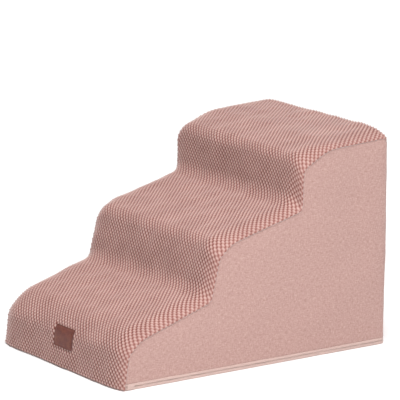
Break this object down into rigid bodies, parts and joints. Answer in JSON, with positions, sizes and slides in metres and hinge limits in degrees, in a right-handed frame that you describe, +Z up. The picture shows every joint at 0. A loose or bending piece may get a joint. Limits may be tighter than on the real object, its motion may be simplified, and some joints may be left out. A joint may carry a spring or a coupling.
{
  "type": "pet stairs",
  "caption": "Foam pet stairs with rounded steps under a zip-off fabric cover: bobble-knit treads and risers, plain side panels, a patch on the first riser and an anti-slip base.",
  "frame": {"origin": "Under the middle of the base, on the floor, where the middle rubber dot stands", "axes": "+Z up, +X across the steps to the right side of someone who faces them from the front, +Y from the low front step to the high back; the front faces -Y"},
  "size_m": [0.4061, 0.5904, 0.4028],
  "materials": {
    "foam": "matte",
    "soft_foam": "matte",
    "bobble_knit": "matte",
    "plain_fabric": "matte",
    "anti_slip_base": "matte",
    "zip_tape": "matte",
    "zip_coil": "matte",
    "zip_metal": "satin",
    "label_leather": "satin"
  },
  "bodies": {
    "stairs": {"lower_foam_block": "foam", "middle_foam_block": "foam", "upper_foam_block": "foam", "comfort_layer": "soft_foam", "step_cover": "bobble_knit", "right_side_panel": "plain_fabric", "left_side_panel": "plain_fabric", "back_panel": "plain_fabric", "base_panel": "anti_slip_base", "lower_zip_tape": "zip_tape", "upper_zip_tape": "zip_tape", "lower_zip_coil": "zip_coil", "upper_zip_coil": "zip_coil", "zip_end_tabs": "zip_tape", "label_patch": "label_leather"},
    "slider": {"zip_slider": "zip_metal"},
    "pull": {"zip_pull": "zip_metal"}
  },
  "joints": [
    {"name": "zip_slide", "type": "slide", "parent": "stairs", "child": "slider", "axis": [0, 1, 0], "range_m": [0, 0.513]},
    {"name": "pull_swing", "type": "hinge", "parent": "slider", "child": "pull", "pos_m": [-0.2031, -0.24747, 0.0064], "axis": [0, 0, 1], "range_deg": [0, 178]}
  ]
}
